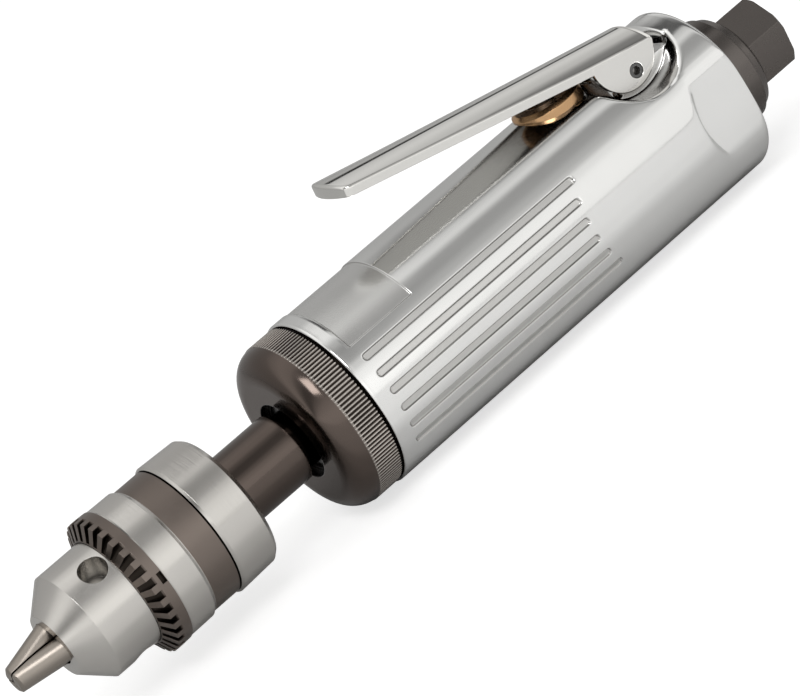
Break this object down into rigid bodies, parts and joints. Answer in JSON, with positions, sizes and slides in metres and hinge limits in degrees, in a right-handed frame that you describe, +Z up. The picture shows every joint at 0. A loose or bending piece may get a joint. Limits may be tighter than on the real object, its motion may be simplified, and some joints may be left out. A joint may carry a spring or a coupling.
{
  "type": "pneumatic in-line drill",
  "caption": "Straight air-powered hand tool with a keyed drill chuck, a slim aluminium housing and a hinged throttle lever.",
  "frame": {"origin": "centre of the air inlet's mouth, at the rear end face of the hexagon", "axes": "+X out of the inlet to the rear, so the chuck points to -X; +Z up through the lever; -Y is the near side in the picture"},
  "size_m": [0.2429, 0.0458, 0.0656],
  "materials": {
    "chuck_steel": "satin ground steel",
    "sleeve_steel": "ground steel with dark oxide teeth",
    "jaw_steel": "ground tool steel",
    "inner_steel": "machined steel",
    "black_oxide": "polished brown-black oxide",
    "dark_steel": "satin brown-grey oxide",
    "rubber": "matt",
    "gasket": "matt",
    "vane": "laminated phenolic",
    "plate_iron": "machined",
    "housing_aluminium": "polished and satin",
    "lever_nickel": "bright nickel on steel sheet",
    "pin_steel": "oiled spring steel",
    "brass": "turned"
  },
  "bodies": {
    "tool_body": {"housing": "housing_aluminium", "front_cap": "black_oxide", "spindle_seal": "rubber", "spindle_bearing_spacer": "inner_steel", "front_bearing_outer": "inner_steel", "middle_bearing_outer": "inner_steel", "ring_gear": "inner_steel", "front_end_plate": "plate_iron", "rotor_front_bearing_outer": "inner_steel", "rotor_rear_bearing_outer": "inner_steel", "cylinder_liner": "inner_steel", "liner_dowel": "inner_steel", "rear_end_plate": "plate_iron", "motor_gasket": "gasket", "lever_pin": "pin_steel", "valve_cap": "brass", "plunger_seal_ring": "rubber", "valve_seat": "brass", "inlet_bushing": "dark_steel", "inlet_screen": "inner_steel", "inlet_seal_ring": "rubber"},
    "spindle": {"spindle": "black_oxide", "planet_pins": "inner_steel", "chuck_body": "chuck_steel", "front_bearing_inner": "inner_steel", "middle_bearing_inner": "inner_steel"},
    "chuck_sleeve": {"chuck_sleeve": "sleeve_steel", "chuck_nut": "inner_steel"},
    "jaw_1": {"jaw_1": "jaw_steel"},
    "jaw_2": {"jaw_2": "jaw_steel"},
    "jaw_3": {"jaw_3": "jaw_steel"},
    "front_balls": {"front_bearing_balls": "inner_steel"},
    "middle_balls": {"middle_bearing_balls": "inner_steel"},
    "rotor": {"rotor": "inner_steel", "vanes": "vane", "rotor_front_bearing_inner": "inner_steel", "rotor_rear_bearing_inner": "inner_steel"},
    "rotor_front_balls": {"rotor_front_bearing_balls": "inner_steel"},
    "rotor_rear_balls": {"rotor_rear_bearing_balls": "inner_steel"},
    "planet_1": {"planet_gear_1": "inner_steel"},
    "planet_2": {"planet_gear_2": "inner_steel"},
    "planet_3": {"planet_gear_3": "inner_steel"},
    "lever": {"lever": "lever_nickel"},
    "plunger": {"valve_plunger": "inner_steel", "throttle_valve": "inner_steel", "valve_spring": "inner_steel"}
  },
  "joints": [
    {"name": "spindle_spin", "type": "hinge", "parent": "tool_body", "child": "spindle", "pos_m": [0, 0, 0], "axis": [1, 0, 0], "continuous": true},
    {"name": "chuck_sleeve_turn", "type": "hinge", "parent": "spindle", "child": "chuck_sleeve", "pos_m": [0, 0, 0], "axis": [1, 0, 0], "range_deg": [0, 3241]},
    {"name": "jaw_1_slide", "type": "slide", "parent": "spindle", "child": "jaw_1", "axis": [0.9703, 0.0945, 0.2227], "range_m": [0, 0.02067]},
    {"name": "jaw_2_slide", "type": "slide", "parent": "spindle", "child": "jaw_2", "axis": [0.9703, 0.1456, -0.1932], "range_m": [0, 0.02072]},
    {"name": "jaw_3_slide", "type": "slide", "parent": "spindle", "child": "jaw_3", "axis": [0.9703, -0.2401, -0.0295], "range_m": [0, 0.02072]},
    {"name": "rotor_spin", "type": "hinge", "parent": "tool_body", "child": "rotor", "pos_m": [0, 0, 0], "axis": [1, 0, 0], "continuous": true},
    {"name": "front_balls_orbit", "type": "hinge", "parent": "tool_body", "child": "front_balls", "pos_m": [0, 0, 0], "axis": [1, 0, 0], "continuous": true},
    {"name": "middle_balls_orbit", "type": "hinge", "parent": "tool_body", "child": "middle_balls", "pos_m": [0, 0, 0], "axis": [1, 0, 0], "continuous": true},
    {"name": "rotor_front_balls_orbit", "type": "hinge", "parent": "tool_body", "child": "rotor_front_balls", "pos_m": [0, 0, 0], "axis": [1, 0, 0], "continuous": true},
    {"name": "rotor_rear_balls_orbit", "type": "hinge", "parent": "tool_body", "child": "rotor_rear_balls", "pos_m": [0, 0, 0], "axis": [1, 0, 0], "continuous": true},
    {"name": "planet_1_spin", "type": "hinge", "parent": "spindle", "child": "planet_1", "pos_m": [0, 0, 0.0105], "axis": [1, 0, 0], "continuous": true},
    {"name": "planet_2_spin", "type": "hinge", "parent": "spindle", "child": "planet_2", "pos_m": [0, 0.00909, -0.00525], "axis": [1, 0, 0], "continuous": true},
    {"name": "planet_3_spin", "type": "hinge", "parent": "spindle", "child": "planet_3", "pos_m": [0, -0.00909, -0.00525], "axis": [1, 0, 0], "continuous": true},
    {"name": "lever_press", "type": "hinge", "parent": "tool_body", "child": "lever", "pos_m": [-0.04, 0, 0.0181], "axis": [0, -1, 0], "range_deg": [0, 7.5], "stiffness_Nm_per_rad": 4, "springref_deg": -5.73},
    {"name": "plunger_slide", "type": "slide", "parent": "tool_body", "child": "plunger", "axis": [0, 0, -1], "range_m": [0, 0.0028], "deforming": ["valve_spring"]}
  ],
  "couplings": [
    {"joint": "chuck_sleeve_turn", "follows": "jaw_1_slide", "rad_per_m": 2736.1},
    {"joint": "jaw_2_slide", "follows": "jaw_1_slide", "ratio": 1},
    {"joint": "jaw_3_slide", "follows": "jaw_1_slide", "ratio": 1},
    {"joint": "rotor_spin", "follows": "spindle_spin", "ratio": 5},
    {"joint": "front_balls_orbit", "follows": "spindle_spin", "ratio": 0.4253},
    {"joint": "middle_balls_orbit", "follows": "spindle_spin", "ratio": 0.4253},
    {"joint": "rotor_front_balls_orbit", "follows": "spindle_spin", "ratio": 1.9938},
    {"joint": "rotor_rear_balls_orbit", "follows": "spindle_spin", "ratio": 1.95},
    {"joint": "planet_1_spin", "follows": "spindle_spin", "ratio": -2.6667},
    {"joint": "planet_2_spin", "follows": "spindle_spin", "ratio": -2.6667},
    {"joint": "planet_3_spin", "follows": "spindle_spin", "ratio": -2.6667},
    {"joint": "plunger_slide", "follows": "lever_press", "m_per_rad": 0.0206}
  ]
}
